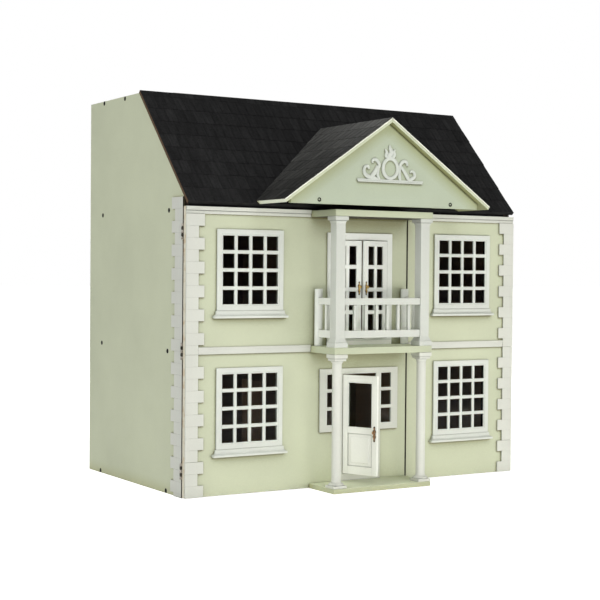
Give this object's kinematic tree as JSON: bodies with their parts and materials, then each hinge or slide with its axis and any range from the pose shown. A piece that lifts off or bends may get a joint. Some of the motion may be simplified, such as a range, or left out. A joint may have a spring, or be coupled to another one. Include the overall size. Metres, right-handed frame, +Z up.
{
  "type": "dollhouse",
  "caption": "Wooden dollhouse with a two-leaf hinged front, shingled lift-up roof, dormer, columned portico with balcony, glazed front door and French doors",
  "frame": {"origin": "the centre of the bounding box, at the bottom of the house where it stands", "axes": "+Z is up, -Y is the way the front of the house faces, and +X is to the right as seen facing the front"},
  "size_m": [0.7476, 0.536, 0.742],
  "materials": {
    "green_paint": "satin sage-green paint on board",
    "white_paint": "satin off-white paint on wood",
    "interior_board": "bare fibreboard",
    "black_board": "matt black paint",
    "roof_shingle": "board under matt charcoal shingles",
    "hinge_metal": "plain bright metal",
    "brass": "polished",
    "glazing": "clear acrylic sheet"
  },
  "bodies": {
    "house": {"base_board": "interior_board", "middle_floor": "interior_board", "attic_floor": "interior_board", "top_panel": "green_paint", "back_panel": "interior_board", "left_side_panel": "green_paint", "right_side_panel": "green_paint", "left_side_quoins": "white_paint", "right_side_quoins": "white_paint", "eaves_rail": "black_board", "left_ground_partition": "interior_board", "right_ground_partition": "interior_board", "left_upper_partition": "interior_board", "right_upper_partition": "interior_board", "ridge_hinge": "hinge_metal", "left_hinge_bottom": "hinge_metal", "left_hinge_middle": "hinge_metal", "left_hinge_top": "hinge_metal", "right_hinge_bottom": "hinge_metal", "right_hinge_middle": "hinge_metal", "right_hinge_top": "hinge_metal"},
    "left_front": {"left_front_panel": "green_paint", "left_front_quoins": "white_paint", "left_string_course": "white_paint", "left_cornice": "white_paint", "left_lower_window_frame": "white_paint", "left_upper_window_frame": "white_paint", "left_lower_window_glass": "glazing", "left_upper_window_glass": "glazing", "entrance_frame": "white_paint", "entrance_glass": "glazing", "french_door_frame": "white_paint", "porch_base": "green_paint", "balcony_floor": "green_paint", "entablature": "green_paint", "left_lower_column": "white_paint", "right_lower_column": "white_paint", "left_upper_column": "white_paint", "right_upper_column": "white_paint", "balcony_front_railing": "white_paint", "balcony_left_railing": "white_paint", "balcony_right_railing": "white_paint"},
    "front_door": {"front_door": "white_paint", "front_door_glass": "glazing", "front_door_handle": "brass"},
    "left_french_door": {"left_french_door": "white_paint"},
    "right_french_door": {"right_french_door": "white_paint"},
    "right_front": {"right_front_panel": "green_paint", "right_front_quoins": "white_paint", "right_string_course": "white_paint", "right_cornice": "white_paint", "right_lower_window_frame": "white_paint", "right_upper_window_frame": "white_paint", "right_lower_window_glass": "glazing", "right_upper_window_glass": "glazing"},
    "roof": {"roof_board": "roof_shingle", "left_dormer_board": "roof_shingle", "right_dormer_board": "roof_shingle", "pediment_board": "green_paint", "pediment_ornament": "white_paint"}
  },
  "joints": [
    {"name": "left_front_hinge", "type": "hinge", "parent": "house", "child": "left_front", "pos_m": [-0.3716, -0.15625, 0.26], "axis": [0, 0, -1], "range_deg": [0, 170]},
    {"name": "right_front_hinge", "type": "hinge", "parent": "house", "child": "right_front", "pos_m": [0.3716, -0.15625, 0.26], "axis": [0, 0, 1], "range_deg": [0, 170]},
    {"name": "roof_hinge", "type": "hinge", "parent": "house", "child": "roof", "pos_m": [0, 0.0379, 0.7399], "axis": [-1, 0, 0], "range_deg": [0, 140]},
    {"name": "front_door_hinge", "type": "hinge", "parent": "left_front", "child": "front_door", "pos_m": [-0.0405, -0.1715, 0.118], "axis": [0, 0, -1], "range_deg": [-66, 34]},
    {"name": "left_french_door_hinge", "type": "hinge", "parent": "left_front", "child": "left_french_door", "pos_m": [-0.0638, -0.1715, 0.37], "axis": [0, 0, -1], "range_deg": [-4, 96]},
    {"name": "right_french_door_hinge", "type": "hinge", "parent": "left_front", "child": "right_french_door", "pos_m": [0.0578, -0.1715, 0.37], "axis": [0, 0, 1], "range_deg": [-10, 90]}
  ]
}
